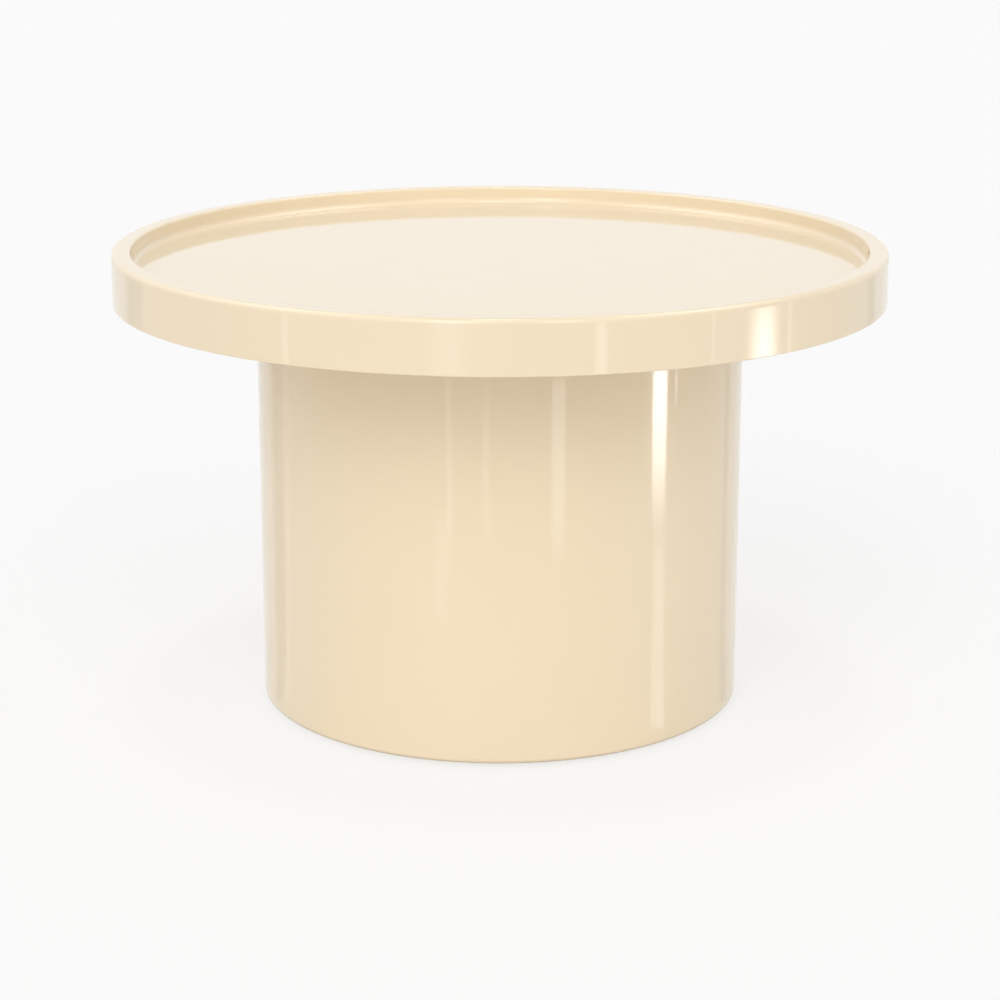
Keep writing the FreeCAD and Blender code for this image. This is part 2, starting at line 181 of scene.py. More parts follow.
def creamLacquer():
    finish, tree, shader, place = startFinish("creamLacquer")
    tone = noise(tree, place, lacquer["toneScale"], detail=3.0)
    plug(tree, mixColour(tree, tone, lacquer["cream"], lacquer["deepCream"]), shader.inputs["Base Color"])
    sheen = noise(tree, place, lacquer["sheenScale"])
    plug(tree, spread(tree, sheen, *noiseRange, *lacquer["roughness"]), shader.inputs["Roughness"])
    flow = bump(tree, noise(tree, place, lacquer["flowScale"], detail=1.0), lacquer["flowHeight"])
    peel = bump(tree, noise(tree, place, lacquer["peelScale"]), lacquer["peelHeight"], under=flow)
    plug(tree, peel, shader.inputs["Coat Normal"])
    shader.inputs["Specular IOR Level"].default_value = lacquer["gloss"]
    shader.inputs["Coat Weight"].default_value = 1.0
    shader.inputs["Coat Roughness"].default_value = lacquer["coatRoughness"]
    shader.inputs["Coat IOR"].default_value = lacquer["coatIor"]
    return finish


veneer = {
    "colours": [(0.36, (0.50, 0.33, 0.18)), (0.50, (0.65, 0.47, 0.28)), (0.62, (0.73, 0.56, 0.36))],
    "figure": 0.55,                # share of the broad figure in the grain
    "upright": (85.0, 85.0, 5.0),  # grain drawn out up the drum
    "roughness": (0.75, 0.60),
    "ridges": 0.10 * mm,
}
overspray = {"driftScale": 55.0, "drift": 30 * mm, "full": -10 * mm, "none": 30 * mm}


def veneerColour(tree, place, stretch):
    # broad figure with fine fibres over it
    figure = noise(tree, place, 1.0, detail=7.0, stretch=stretch, distortion=0.8)
    fibre = noise(tree, place, 4.5, detail=4.0, stretch=stretch, distortion=0.3)
    grain = blended(tree, figure, fibre, veneer["figure"])
    return ramp(tree, grain, veneer["colours"]), grain


def rawSurface(tree, shader, grain, wood):
    # the grain also varies the sheen and stands up a little
    plug(tree, spread(tree, grain, *grainRange, *wood["roughness"]), shader.inputs["Roughness"])
    plug(tree, bump(tree, grain, wood["ridges"], ridgeStrength), shader.inputs["Normal"])


def drumVeneer():
    # raw upright-grained inside of the drum, with cream overspray fading in from the bottom edge
    finish, tree, shader, place = startFinish("drumVeneer")
    colour, grain = veneerColour(tree, place, veneer["upright"])
    cloud = noise(tree, place, overspray["driftScale"], detail=4.0)
    drift = mathNode(tree, "MULTIPLY", cloud, overspray["drift"])
    reach = mathNode(tree, "SUBTRACT", splitPlace(tree, place)["Z"], drift)
    spray = spread(tree, reach, overspray["full"], overspray["none"], 1.0, 0.0, smooth=True)
    plug(tree, mixColour(tree, spray, colour, lacquer["cream"]), shader.inputs["Base Color"])
    rawSurface(tree, shader, grain, veneer)
    return finish


plySheet = {
    "layer": 1.5 * mm,
    "pale": (0.62, 0.46, 0.28),
    "dark": (0.30, 0.18, 0.09),
    "sawScale": 420.0,            # uneven tone of the sawn edge
    "sawRange": (0.35, 0.65),
    "sawTone": (-0.25, 0.25),
    "flatFrom": 0.6,              # faces that look up or down more than this show the face veneer
    "along": (7.0, 95.0, 95.0),   # grain drawn out along X
    "roughness": (0.72, 0.55),
    "ridges": 0.12 * mm,
}


def birchPlywood():
    finish, tree, shader, place = startFinish("birchPlywood")
    face, grain = veneerColour(tree, place, plySheet["along"])
    pairs = mathNode(tree, "DIVIDE", splitPlace(tree, place)["Z"], 2 * plySheet["layer"])
    cross = mathNode(tree, "GREATER_THAN", mathNode(tree, "FRACT", pairs), 0.5)
    sawn = noise(tree, place, plySheet["sawScale"], detail=4.0)
    uneven = spread(tree, sawn, *plySheet["sawRange"], *plySheet["sawTone"])
    edge = mixColour(tree, mathNode(tree, "ADD", cross, uneven), plySheet["pale"], plySheet["dark"])
    facing = splitPlace(tree, addNode(tree, "ShaderNodeTexCoord").outputs["Normal"])
    flat = mathNode(tree, "GREATER_THAN", mathNode(tree, "ABSOLUTE", facing["Z"]), plySheet["flatFrom"])
    plug(tree, mixColour(tree, flat, edge, face), shader.inputs["Base Color"])
    rawSurface(tree, shader, grain, plySheet)
    return finish


pine = {
    "colours": [(0.36, (0.44, 0.26, 0.11)), (0.47, (0.62, 0.42, 0.21)), (0.62, (0.71, 0.53, 0.30))],
    "ringShare": 0.7,
    "rings": (75.0, 75.0, 1.6),
    "fibres": (160.0, 160.0, 4.0),
    "roughness": (0.70, 0.52),
    "ridges": 0.08 * mm,
}


def planedPine():
    finish, tree, shader, place = startFinish("planedPine")
    fibre = noise(tree, place, 1.0, detail=5.0, stretch=pine["fibres"], distortion=0.3)
    rings = noise(tree, place, 1.0, detail=2.0, stretch=pine["rings"], distortion=1.2)
    grain = blended(tree, rings, fibre, pine["ringShare"])
    plug(tree, ramp(tree, grain, pine["colours"]), shader.inputs["Base Color"])
    rawSurface(tree, shader, fibre, pine)
    return finish


zinc = {
    "colours": [(0.30, (0.50, 0.49, 0.46)), (0.55, (0.64, 0.64, 0.62)), (0.75, (0.70, 0.71, 0.72))],
    "bloomScale": 260.0,
    "roughness": (0.42, 0.26),
    "grainScale": 1800.0,
    "grainHeight": 0.008 * mm,
}


def zincSteel():
    finish, tree, shader, place = startFinish("zincSteel")
    bloom = noise(tree, place, zinc["bloomScale"], detail=4.0)
    plug(tree, ramp(tree, bloom, zinc["colours"]), shader.inputs["Base Color"])
    plug(tree, spread(tree, bloom, *noiseRange, *zinc["roughness"]), shader.inputs["Roughness"])
    grain = noise(tree, place, zinc["grainScale"])
    plug(tree, bump(tree, grain, zinc["grainHeight"]), shader.inputs["Normal"])
    shader.inputs["Metallic"].default_value = 1.0
    return finish


nylon = {
    "colours": [(0.3, (0.022, 0.022, 0.023)), (0.7, (0.040, 0.040, 0.041))],
    "roughness": (0.42, 0.58),
    "grainScale": 1400.0,
    "grainHeight": 0.03 * mm,
    "grainStrength": 0.7,
}


def blackNylon():
    finish, tree, shader, place = startFinish("blackNylon")
    grain = noise(tree, place, nylon["grainScale"], detail=3.0)
    plug(tree, ramp(tree, grain, nylon["colours"]), shader.inputs["Base Color"])
    plug(tree, spread(tree, grain, *noiseRange, *nylon["roughness"]), shader.inputs["Roughness"])
    plug(tree, bump(tree, grain, nylon["grainHeight"], nylon["grainStrength"]), shader.inputs["Normal"])
    return finish


creamFinish = creamLacquer()
drumInsideFinish = drumVeneer()
plyFinish = birchPlywood()
pineFinish = planedPine()
zincFinish = zincSteel()
nylonFinish = blackNylon()
print("finishes ready")


# geometry trees

nearness = {"seam": 0.0005 * mm, "doubles": 0.0002 * mm, "slivers": 0.002 * mm}  # what lies closer is merged
sharpAngle = math.radians(35)  # edges that turn more than this shade sharp


def newTree(name, sockets):
    tree = bpy.data.node_groups.new(name, "GeometryNodeTree")
    tree.interface.new_socket("Geometry", in_out="OUTPUT", socket_type="NodeSocketGeometry")
    for label, kind in {"Geometry": "Geometry", **sockets, "Finish": "Material"}.items():
        tree.interface.new_socket(label, in_out="INPUT", socket_type=f"NodeSocket{kind}")
    return tree, addNode(tree, "NodeGroupInput"), addNode(tree, "NodeGroupOutput")


def closeTree(tree, geometry, inlet, outlet):
    realize = addNode(tree, "GeometryNodeRealizeInstances")
    plug(tree, geometry, realize.inputs["Geometry"])
    paint = addNode(tree, "GeometryNodeSetMaterial")
    plug(tree, realize.outputs["Geometry"], paint.inputs["Geometry"])
    plug(tree, inlet.outputs["Finish"], paint.inputs["Material"])
    plug(tree, paint.outputs["Geometry"], outlet.inputs["Geometry"])


def flatGrid(tree, inlet, rows):
    # a grid to be rolled up, with the column and the row of each of its points
    grid = addNode(tree, "GeometryNodeMeshGrid")
    plug(tree, mathNode(tree, "ADD", inlet.outputs["Segments"], 1), grid.inputs["Vertices X"])
    plug(tree, rows, grid.inputs["Vertices Y"])
    index = addNode(tree, "GeometryNodeInputIndex").outputs["Index"]
    column = mathNode(tree, "FLOOR", mathNode(tree, "DIVIDE", index, rows))
    row = mathNode(tree, "SUBTRACT", index, mathNode(tree, "MULTIPLY", column, rows))
    return grid.outputs["Mesh"], column, row


def roundAxis(tree, radius, turn):
    # the X and Y of a spot at a radius and a turn about the upright axis; Z is left open
    spot = addNode(tree, "ShaderNodeCombineXYZ")
    for name, operation in (("X", "COSINE"), ("Y", "SINE")):
        swing = mathNode(tree, "MULTIPLY", radius, mathNode(tree, operation, turn))
        plug(tree, swing, spot.inputs[name])
    return spot


def rollUp(tree, inlet, outlet, grid, spot):
    # puts the grid's points on their spots about Place, and merges the seam and the poles
    shift = addNode(tree, "ShaderNodeVectorMath", operation="ADD")
    plug(tree, spot.outputs["Vector"], shift.inputs[0])
    plug(tree, inlet.outputs["Place"], shift.inputs[1])
    place = addNode(tree, "GeometryNodeSetPosition")
    plug(tree, grid, place.inputs["Geometry"])
    plug(tree, shift.outputs["Vector"], place.inputs["Position"])
    merge = addNode(tree, "GeometryNodeMergeByDistance")
    merge.inputs["Distance"].default_value = nearness["seam"]
    plug(tree, place.outputs["Geometry"], merge.inputs["Geometry"])
    closeTree(tree, merge.outputs["Geometry"], inlet, outlet)


def buildTurnedTree():
    # spins the piece's own outline, drawn across X and up Z, about an upright line through Place
    tree, inlet, outlet = newTree("turnedShape", {
        "Segments": "Int", "Round Steps": "Int", "Closed": "Int", "Place": "Vector",
    })
    outline = addNode(tree, "GeometryNodeMeshToCurve")
    plug(tree, inlet.outputs["Geometry"], outline.inputs["Mesh"])
    roundness = addNode(tree, "GeometryNodeInputNamedAttribute", data_type="FLOAT")
    roundness.inputs["Name"].default_value = "roundness"
    fillet = addNode(tree, "GeometryNodeFilletCurve", mode="POLY")
    plug(tree, outline.outputs["Curve"], fillet.inputs["Curve"])
    plug(tree, inlet.outputs["Round Steps"], fillet.inputs["Count"])
    plug(tree, live(roundness.outputs, "Attribute"), fillet.inputs["Radius"])
    size = addNode(tree, "GeometryNodeAttributeDomainSize", component="CURVE")
    plug(tree, fillet.outputs["Curve"], size.inputs["Geometry"])
    points = size.outputs["Point Count"]
    grid, column, row = flatGrid(tree, inlet, mathNode(tree, "ADD", points, inlet.outputs["Closed"]))
    sample = addNode(tree, "GeometryNodeSampleIndex", data_type="FLOAT_VECTOR", domain="POINT")
    plug(tree, fillet.outputs["Curve"], sample.inputs["Geometry"])
    plug(tree, addNode(tree, "GeometryNodeInputPosition").outputs["Position"], live(sample.inputs, "Value"))
    plug(tree, mathNode(tree, "MODULO", row, points), sample.inputs["Index"])  # a closed outline comes back
    corner = splitPlace(tree, live(sample.outputs, "Value"))
    turn = mathNode(tree, "DIVIDE", mathNode(tree, "MULTIPLY", column, math.tau), inlet.outputs["Segments"])
    spot = roundAxis(tree, corner["X"], turn)
    plug(tree, corner["Z"], spot.inputs["Z"])
    rollUp(tree, inlet, outlet, grid, spot)
    return tree


def buildRingTree():
    # sets copies of a pattern piece round an upright axis
    tree, inlet, outlet = newTree("ringOfFixings", {
        "Pattern": "Object", "Count": "Int", "Circle": "Float", "Start": "Float",
    })
    index = addNode(tree, "GeometryNodeInputIndex").outputs["Index"]
    share = mathNode(tree, "DIVIDE", mathNode(tree, "MULTIPLY", index, math.tau), inlet.outputs["Count"])
    turn = mathNode(tree, "ADD", share, inlet.outputs["Start"])
    points = addNode(tree, "GeometryNodePoints")
    plug(tree, inlet.outputs["Count"], points.inputs["Count"])
    spot = roundAxis(tree, inlet.outputs["Circle"], turn)
    plug(tree, spot.outputs["Vector"], points.inputs["Position"])
    pattern = addNode(tree, "GeometryNodeObjectInfo", transform_space="ORIGINAL")
    plug(tree, inlet.outputs["Pattern"], pattern.inputs["Object"])
    upright = addNode(tree, "ShaderNodeCombineXYZ")
    plug(tree, turn, upright.inputs["Z"])
    copies = addNode(tree, "GeometryNodeInstanceOnPoints")
    plug(tree, points.outputs[0], copies.inputs["Points"])
    plug(tree, pattern.outputs["Geometry"], copies.inputs["Instance"])
    plug(tree, upright.outputs["Vector"], copies.inputs["Rotation"])
    closeTree(tree, copies.outputs["Instances"], inlet, outlet)
    return tree


def buildThreadTree():
    # an upright screw thread: a closed tube whose radius rises and falls along a helix
    tree, inlet, outlet = newTree("screwThread", {
        "Segments": "Int", "Rows": "Int", "Radius": "Float", "Depth": "Float", "Pitch": "Float",
        "Bottom": "Float", "Top": "Float", "Lead In": "Float", "Place": "Vector",
    })
    sizes = inlet.outputs
    grid, column, row = flatGrid(tree, inlet, sizes["Rows"])
    share = mathNode(tree, "DIVIDE", column, sizes["Segments"])
    # the first and last rows are the middles of the flat ends, the others climb from Bottom to Top
    steps = mathNode(tree, "SUBTRACT", sizes["Rows"], 3)
    climb = mathNode(tree, "DIVIDE", mathNode(tree, "SUBTRACT", row, 1), steps)
    clamp = addNode(tree, "ShaderNodeClamp")
    plug(tree, climb, clamp.inputs["Value"])
    span = mathNode(tree, "SUBTRACT", sizes["Top"], sizes["Bottom"])
    height = mathNode(tree, "ADD", mathNode(tree, "MULTIPLY", clamp.outputs[0], span), sizes["Bottom"])
    wave = mathNode(tree, "SUBTRACT", mathNode(tree, "DIVIDE", height, sizes["Pitch"]), share)
    ridge = mathNode(tree, "MULTIPLY", mathNode(tree, "PINGPONG", wave, 0.5), 2.0)
    cut = mathNode(tree, "MULTIPLY", ridge, sizes["Depth"])
    below = mathNode(tree, "SUBTRACT", sizes["Top"], height)
    taper = mathNode(tree, "SUBTRACT", sizes["Lead In"], below)
    radius = mathNode(tree, "SUBTRACT", sizes["Radius"], mathNode(tree, "MAXIMUM", taper, cut))
    pastFirst = mathNode(tree, "GREATER_THAN", row, 0.5)
    beforeLast = mathNode(tree, "LESS_THAN", row, mathNode(tree, "SUBTRACT", sizes["Rows"], 1.5))
    reach = mathNode(tree, "MULTIPLY", radius, mathNode(tree, "MULTIPLY", pastFirst, beforeLast))
    spot = roundAxis(tree, reach, mathNode(tree, "MULTIPLY", share, math.tau))
    plug(tree, height, spot.inputs["Z"])
    rollUp(tree, inlet, outlet, grid, spot)
    return tree


turnedTree = buildTurnedTree()
ringTree = buildRingTree()
threadTree = buildThreadTree()
print("geometry trees ready")


# mesh helpers

def newPiece(name, mesh):
    piece = bpy.data.objects.new(name, mesh)
    scene.collection.objects.link(piece)
    return piece


def pieceFrom(name, work):
    mesh = bpy.data.meshes.new(name)
    work.to_mesh(mesh)
    work.free()
    return newPiece(name, mesh)


def plainMesh(piece):
    # the evaluated mesh takes the place of the modifiers
    bpy.context.view_layer.update()
    done = piece.evaluated_get(bpy.context.evaluated_depsgraph_get())
    mesh = bpy.data.meshes.new_from_object(done)
    piece.modifiers.clear()
    piece.data = mesh
    return mesh


def tidyMesh(piece):
    work = bmesh.new()
    work.from_mesh(piece.data)
    bmesh.ops.remove_doubles(work, verts=work.verts, dist=nearness["doubles"])
    bmesh.ops.dissolve_degenerate(work, edges=work.edges, dist=nearness["slivers"])
    bmesh.ops.recalc_face_normals(work, faces=work.faces)
    work.to_mesh(piece.data)
    work.free()
    piece.data.polygons.foreach_set("use_smooth", [True] * len(piece.data.polygons))
    piece.data.set_sharp_from_angle(angle=sharpAngle)


def runTree(piece, tree, finish, values):
    modifier = piece.modifiers.new(tree.name, "NODES")
    modifier.node_group = tree
    settings = {**values, "Finish": finish}
    for item in tree.interface.items_tree:
        if item.in_out == "INPUT" and item.name in settings:
            modifier[item.identifier] = settings[item.name]
    mesh = plainMesh(piece)
    mesh.materials.clear()  # a grid made by nodes brings an empty slot before the finish
    mesh.materials.append(finish)
    mesh.polygons.foreach_set("material_index", [0] * len(mesh.polygons))
    tidyMesh(piece)
    return piece


def heldCorners(corners, hold):
    # adds a point just outside each rounding, so that the flats beside it shade flat
    made = []
    count = len(corners)
    for number, (radius, height, roundness) in enumerate(corners):
        here = Vector((radius, height))
        beside = (corners[number - 1], corners[(number + 1) % count])
        sides = [Vector(other[:2]) - here for other in beside]
        if roundness > 0:
            half = sides[0].angle(sides[1]) / 2
            back = roundness / math.tan(half) + hold
            before, after = (here + side.normalized() * back for side in sides)
            made.append((before.x, before.y, 0.0))
            made.append((radius, height, roundness))
            made.append((after.x, after.y, 0.0))
        else:
            made.append((radius, height, 0.0))
    return made


def turned(name, corners, finish, closed=True, place=(0, 0, 0), segments=360, steps=8, hold=0.4 * mm):
    # each corner is a radius, a height and the size of its rounding
    points = heldCorners(corners, hold)
    count = len(points)
    mesh = bpy.data.meshes.new(name)
    edges = [(number, (number + 1) % count) for number in range(count if closed else count - 1)]
    mesh.from_pydata([(radius, 0.0, height) for radius, height, _ in points], edges, [])
    roundness = mesh.attributes.new("roundness", "FLOAT", "POINT")
    roundness.data.foreach_set("value", [point[2] for point in points])
    piece = newPiece(name, mesh)
    return runTree(piece, turnedTree, finish, {
        "Segments": segments, "Round Steps": steps, "Closed": int(closed), "Place": place,
    })


def ringOf(name, pattern, count, circle, start, finish):
    piece = newPiece(name, bpy.data.meshes.new(name))
    return runTree(piece, ringTree, finish, {
        "Pattern": pattern, "Count": count, "Circle": circle, "Start": math.radians(start),
    })


def joined(name, pieces):
    work = bmesh.new()
    for piece in pieces:
        work.from_mesh(piece.data)
    whole = pieceFrom(name, work)
    whole.data.materials.append(pieces[0].data.materials[0])
    whole.data.set_sharp_from_angle(angle=sharpAngle)
    for piece in pieces:
        bpy.data.objects.remove(piece)
    return whole


def cutWith(piece, cutter):
    cut = piece.modifiers.new("cut", "BOOLEAN")
    cut.operation = "DIFFERENCE"
    cut.solver = "EXACT"
    cut.object = cutter
    plainMesh(piece)
    bpy.data.objects.remove(cutter)
    tidyMesh(piece)


def hexPrism(name, flats, bottom, top, place=(0, 0, 0), edge=0.0):
    # an upright hexagon, measured across its flats
    radius = flats / math.sqrt(3)
    work = bmesh.new()
    bmesh.ops.create_cone(work, cap_ends=True, segments=6, radius1=radius, radius2=radius, depth=top - bottom)
    if edge > 0:
        bmesh.ops.bevel(work, geom=list(work.edges), offset=edge, segments=2, affect="EDGES", profile=0.6)
    lift = Matrix.Translation(Vector(place) + Vector((0, 0, (top + bottom) / 2)))
    bmesh.ops.transform(work, matrix=lift @ Matrix.Rotation(math.pi / 6, 4, "Z"), verts=work.verts)
    return pieceFrom(name, work)


def bar(name, length, width, bottom, top, turn):
    work = bmesh.new()
    bmesh.ops.create_cube(work, size=1.0)
    shape = Matrix.Rotation(turn, 4, "Z") @ Matrix.Diagonal((length, width, top - bottom, 1.0))
    lift = Matrix.Translation((0, 0, (top + bottom) / 2))
    bmesh.ops.transform(work, matrix=lift @ shape, verts=work.verts)
    return pieceFrom(name, work)


def fitted(piece, body, slot, *replaced):
    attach(piece, body)
    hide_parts(*replaced)
    return piece


# tray: the hoop and the sunk panel, turned at the sizes of their solids

rimLow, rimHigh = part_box("rim_hoop")
panelLow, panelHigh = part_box("tray_panel")
tray = {
    "wall": 15 * mm,
    "edge": 4 * mm,
    "boreEdge": 2 * mm,
    "footEdge": 0.8 * mm,
    "rabbet": 7 * mm,
    "cove": 5 * mm,
    "land": 1 * mm,
    "panelGap": 0.2 * mm,
    "floorRings": (0.25, 0.5, 0.75),  # rings of points across the flat floor, as shares of its radius
}


def makeTray():
    outer = rimHigh.x
    bore = outer - tray["wall"]
    rabbet = bore + tray["rabbet"]
    lip = panelHigh.z
    floor = lip - tray["cove"] - tray["land"]
    hoop = turned("rim_hoop_lacquered", [
        (rabbet, rimLow.z, 0.0), (outer, rimLow.z, tray["footEdge"]), (outer, rimHigh.z, tray["edge"]),
        (bore, rimHigh.z, tray["boreEdge"]), (bore, lip, 0.0), (rabbet, lip, 0.0),
    ], creamFinish)
    fitted(hoop, "table", "lacquer", "rim_hoop")
    edge = rabbet - tray["panelGap"]
    rings = [bore * share for share in tray["floorRings"]]
    panel = turned("tray_panel_lacquered", [
        (0.0, floor, 0.0), *[(radius, floor, 0.0) for radius in rings],
        (bore, floor, tray["cove"]), (bore, lip, 0.0), (edge, lip, 0.0), (edge, panelLow.z, 0.0),
        *[(radius, panelLow.z, 0.0) for radius in reversed(rings)], (0.0, panelLow.z, 0.0),
    ], creamFinish, closed=False)
    fitted(panel, "table", "lacquer", "tray_panel")


makeTray()
print("tray made")


# drum: one bent shell, lacquered outside and raw inside

drumLow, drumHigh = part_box("drum_shell")
drum = {"wall": 12 * mm, "edge": 4 * mm, "innerEdge": 1 * mm, "boreSlack": 0.1 * mm}


def makeDrum():
    outer = drumHigh.x
    bore = outer - drum["wall"]
    shell = turned("drum_shell_lacquered", [
        (bore, drumLow.z, drum["innerEdge"]), (outer, drumLow.z, drum["edge"]),
        (outer, drumHigh.z, 0.0), (bore, drumHigh.z, 0.0),
    ], creamFinish)
    shell.data.materials.append(drumInsideFinish)
    for face in shell.data.polygons:
        middle = face.center
        onBore = math.hypot(middle.x, middle.y) < bore + drum["boreSlack"]
        if onBore and middle.z > drumLow.z + drum["innerEdge"]:
            face.material_index = 1
    fitted(shell, "table", "lacquer", "drum_shell")


makeDrum()
print("drum made")


# raw wood inside: the solids have the right shape and only take a finish

def paintNode(name, finish):
    slots = nodes[name].data.materials
    slots.clear()
    slots.append(finish)


for name in ("mounting_disc", "top_former", "middle_former", "bottom_former"):
    paintNode(name, plyFinish)
for number in battenNumbers:
    paintNode(f"upright_{number}", pineFinish)
print("formers and battens painted")


# fixings

overcut = 1 * mm  # how far outside a head its recess cutter starts
screw = {
    "head": 8 * mm, "land": 0.2 * mm, "shank": 4 * mm, "tip": 4 * mm,
    "crossLong": 4.6 * mm, "crossWide": 1.0 * mm, "crossDeep": 2.0 * mm,
}


def countersunkScrew(name, head, tip):
    # one screw standing on the upright axis, its flush head at one height and its tip at another
    way = 1 if tip > head else -1
    headRadius, shankRadius, land = screw["head"] / 2, screw["shank"] / 2, screw["land"]
    piece = turned(name, [
        (0.0, head, 0.0), (headRadius - land, head, 0.0), (headRadius, head + way * land, 0.0),
        (shankRadius, head + way * (headRadius - shankRadius + land), 0.0),
        (shankRadius, tip - way * screw["tip"], 0.0), (0.0, tip, 0.0),
    ], zincFinish, closed=False, segments=32)
    low, high = sorted((head - way * overcut, head + way * screw["crossDeep"]))
    for turn in (0.0, math.pi / 2):
        cutWith(piece, bar("cross", screw["crossLong"], screw["crossWide"], low, high, turn))
    return piece


def ringPiece(name, pattern, rings):
    # rings of one pattern, joined into one piece; each ring is count, circle and start angle
    made = [ringOf(f"{name}_{number}", pattern, *ring, zincFinish) for number, ring in enumerate(rings)]
    bpy.data.objects.remove(pattern)
    return joined(name, made)


bottomLow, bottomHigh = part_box("bottom_former")
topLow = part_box("top_former")[0]
screwLow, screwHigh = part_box("upright_screws")
panelScrewLow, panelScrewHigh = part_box("panel_screws")
battenLow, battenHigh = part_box("upright_1")
fixings = {
    "uprightBite": 25 * mm,
    "outerPanelScrews": 6, "innerPanelScrews": 4, "innerPanelCircle": 45 * mm,
    "bolts": 4, "boltStart": 45, "boltCircle": 100 * mm,
}


def makeScrews():
    battenRing = [(len(battenNumbers), (battenLow.x + battenHigh.x) / 2, 0)]
    bite = fixings["uprightBite"]
    uprightEnds = []
    for end, head, tip in (("foot", screwLow.z, bottomHigh.z + bite), ("head", screwHigh.z, topLow.z - bite)):
        pattern = countersunkScrew(f"{end}Screw", head, tip)
        uprightEnds.append(ringPiece(f"upright_screws_{end}", pattern, battenRing))
    fitted(joined("upright_screws_zinc", uprightEnds), "table", "zinc_steel", "upright_screws")
    pattern = countersunkScrew("panelScrew", panelScrewLow.z, panelScrewHigh.z)
    panel = ringPiece("panel_screws_zinc", pattern, [
        (fixings["outerPanelScrews"], panelScrewHigh.x - screw["head"] / 2, 0),
        (fixings["innerPanelScrews"], fixings["innerPanelCircle"], 0),
    ])
    fitted(panel, "table", "zinc_steel", "panel_screws")


makeScrews()

boltLow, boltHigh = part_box("connecting_bolts")
washerLow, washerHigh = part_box("bolt_washers")
insertLow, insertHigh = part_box("bolt_inserts")
bolt = {
    "head": 10 * mm, "headEdge": 0.6 * mm, "shank": 6 * mm, "tipEdge": 0.5 * mm,
    "keyFlats": 5 * mm, "keyDepth": 3 * mm,
    "washer": 18 * mm, "washerBore": 6.4 * mm, "washerEdge": 0.25 * mm,
    "insert": 10 * mm, "insertGap": 0.1 * mm, "insertEdge": 0.4 * mm,
}


def makeBolts():
    ring = [(fixings["bolts"], fixings["boltCircle"], fixings["boltStart"])]
    head, shank, tipEdge = bolt["head"] / 2, bolt["shank"] / 2, bolt["tipEdge"]
    pattern = turned("socketScrew", [
        (0.0, boltLow.z, 0.0), (head, boltLow.z, bolt["headEdge"]), (head, washerLow.z, 0.0),
        (shank, washerLow.z, 0.0), (shank, boltHigh.z - tipEdge, 0.0), (shank - tipEdge, boltHigh.z, 0.0),
        (0.0, boltHigh.z, 0.0),
    ], zincFinish, closed=False, segments=48, steps=4)
    cutWith(pattern, hexPrism("key", bolt["keyFlats"], boltLow.z - overcut, boltLow.z + bolt["keyDepth"]))
    fitted(ringPiece("connecting_bolts_zinc", pattern, ring), "table", "zinc_steel", "connecting_bolts")
    outer, bore = bolt["washer"] / 2, bolt["washerBore"] / 2
    pattern = turned("washer", [
        (bore, washerLow.z, 0.0), (outer, washerLow.z, bolt["washerEdge"]), (outer, washerHigh.z, 0.0),
        (bore, washerHigh.z, 0.0),
    ], zincFinish, segments=64, steps=3, hold=0.1 * mm)
    fitted(ringPiece("bolt_washers_zinc", pattern, ring), "table", "zinc_steel", "bolt_washers")
    barrel, hole = bolt["insert"] / 2, shank + bolt["insertGap"]
    pattern = turned("threadedInsert", [
        (hole, insertLow.z, 0.0), (barrel, insertLow.z, 0.0), (barrel, insertHigh.z, bolt["insertEdge"]),
        (hole, insertHigh.z, 0.0),
    ], zincFinish, segments=48, steps=3)
    fitted(ringPiece("bolt_inserts_zinc", pattern, ring), "table", "zinc_steel", "bolt_inserts")


makeBolts()
print("screws and bolts made")


# levelling feet

padLow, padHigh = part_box("foot_1_pad")
stemLow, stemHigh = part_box("foot_1_stem")
footInsertLow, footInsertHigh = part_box("foot_inserts")
foot = {
    "padEdge": 1.2 * mm, "sole": 2.2 * mm, "soleRound": 0.6 * mm, "padFloor": 2.5 * mm,
    "pivot": 7 * mm, "pivotGap": 0.05 * mm,
    "bead": 0.5 * mm, "beadLift": 5.5 * mm, "beadTall": 2 * mm, "beadFlat": 0.5 * mm,
    "hexFlats": 13 * mm, "hexGap": 0.25 * mm, "hexTall": 4 * mm, "hexEdge": 0.35 * mm,
    "stem": 7.9 * mm, "pitch": 1.25 * mm, "threadDepth": 0.65 * mm, "leadIn": 1.0 * mm,
    "overlap": 0.5 * mm,  # of the pivot and the thread in the hexagon
    "flange": 22 * mm, "barrel": 11 * mm, "flangeEdge": 0.3 * mm, "runningGap": 0.05 * mm, "start": 45,
}
hexLow = padHigh.z + foot["hexGap"]
hexHigh = hexLow + foot["hexTall"]


def beadOutline(gap=0.0):
    # the snap bead on the pivot's side, from below; the pad's socket follows it with a gap
    pivot = foot["pivot"] / 2
    bead = pivot + foot["bead"]
    lift, tall, flat = foot["beadLift"], foot["beadTall"] / 2, foot["beadFlat"] / 2
    side = [(pivot, lift - tall), (bead, lift - flat), (bead, lift + flat), (pivot, lift + tall)]
    return [(across + gap, up, 0.0) for across, up in side]


def makePad(number, place, top):
    radius = (padHigh.x - padLow.x) / 2
    gap = foot["pivotGap"]
    socket = foot["pivot"] / 2 + gap
    pad = turned(f"foot_{number}_pad_nylon", [
        (0.0, 0.0, 0.0), (radius - foot["sole"] / 2, 0.0, foot["soleRound"]),
        (radius, foot["sole"], foot["soleRound"]), (radius, top, foot["padEdge"]), (socket, top, 0.0),
        *reversed(beadOutline(gap)), (socket, foot["padFloor"], 0.0), (0.0, foot["padFloor"], 0.0),
    ], nylonFinish, closed=False, place=place, segments=72, steps=5, hold=0.15 * mm)
    fitted(pad, f"foot_{number}", "nylon", f"foot_{number}_pad")


